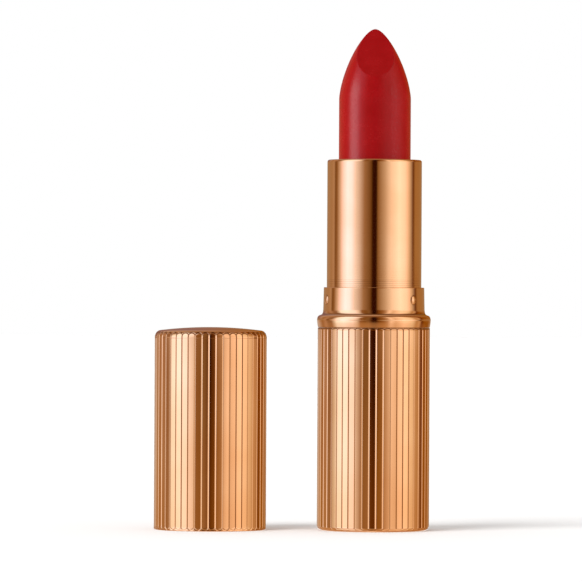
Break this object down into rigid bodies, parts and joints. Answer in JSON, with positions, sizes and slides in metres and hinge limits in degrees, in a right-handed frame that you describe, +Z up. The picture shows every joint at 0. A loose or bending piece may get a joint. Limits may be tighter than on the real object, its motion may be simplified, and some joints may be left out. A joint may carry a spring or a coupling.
{
  "type": "lipstick case",
  "caption": "Twist-up lipstick case in polished rose gold with fine vertical flutes, lipstick raised, its fluted cap standing beside it.",
  "frame": {"origin": "centre of the base's rest face", "axes": "+Z up along the lipstick; -Y is the front, which the slanted face of the lipstick looks towards; the cap stands at the -X side"},
  "size_m": [0.0467, 0.0192, 0.0848],
  "materials": {
    "fluted_gold": "polished rose-gold anodised, drawn with fine flutes",
    "polished_gold": "mirror-polished rose-gold anodised with faint turning lines",
    "lipstick": null,
    "ivory_plastic": "moulded",
    "dark_plastic": "moulded, fine-grained",
    "soft_rubber": "matt",
    "bare_steel": "turned"
  },
  "bodies": {
    "base": {"base_shell": "fluted_gold", "base_plug": "dark_plastic", "base_weight": "bare_steel", "base_insert": "ivory_plastic", "shoulder_collar": "polished_gold", "guide_tube": "ivory_plastic", "brake_ring": "soft_rubber"},
    "tube": {"tube_shell": "polished_gold", "spiral_sleeve": "dark_plastic"},
    "carrier": {"carrier_cup": "ivory_plastic", "bullet": "lipstick"},
    "cap": {"cap_shell": "fluted_gold", "cap_liner": "dark_plastic"}
  },
  "joints": [
    {"name": "tube_turn", "type": "hinge", "parent": "base", "child": "tube", "pos_m": [0, 0, 0.045], "axis": [0, 0, 1], "range_deg": [0, 540]},
    {"name": "carrier_slide", "type": "slide", "parent": "base", "child": "carrier", "axis": [0, 0, 1], "range_m": [-0.0246, 0]},
    {"name": "cap_lift", "type": "slide", "parent": "base", "child": "cap", "axis": [0, 0, 1], "range_m": [0, 0.04]}
  ],
  "couplings": [
    {"joint": "carrier_slide", "follows": "tube_turn", "m_per_rad": -0.0025995}
  ]
}
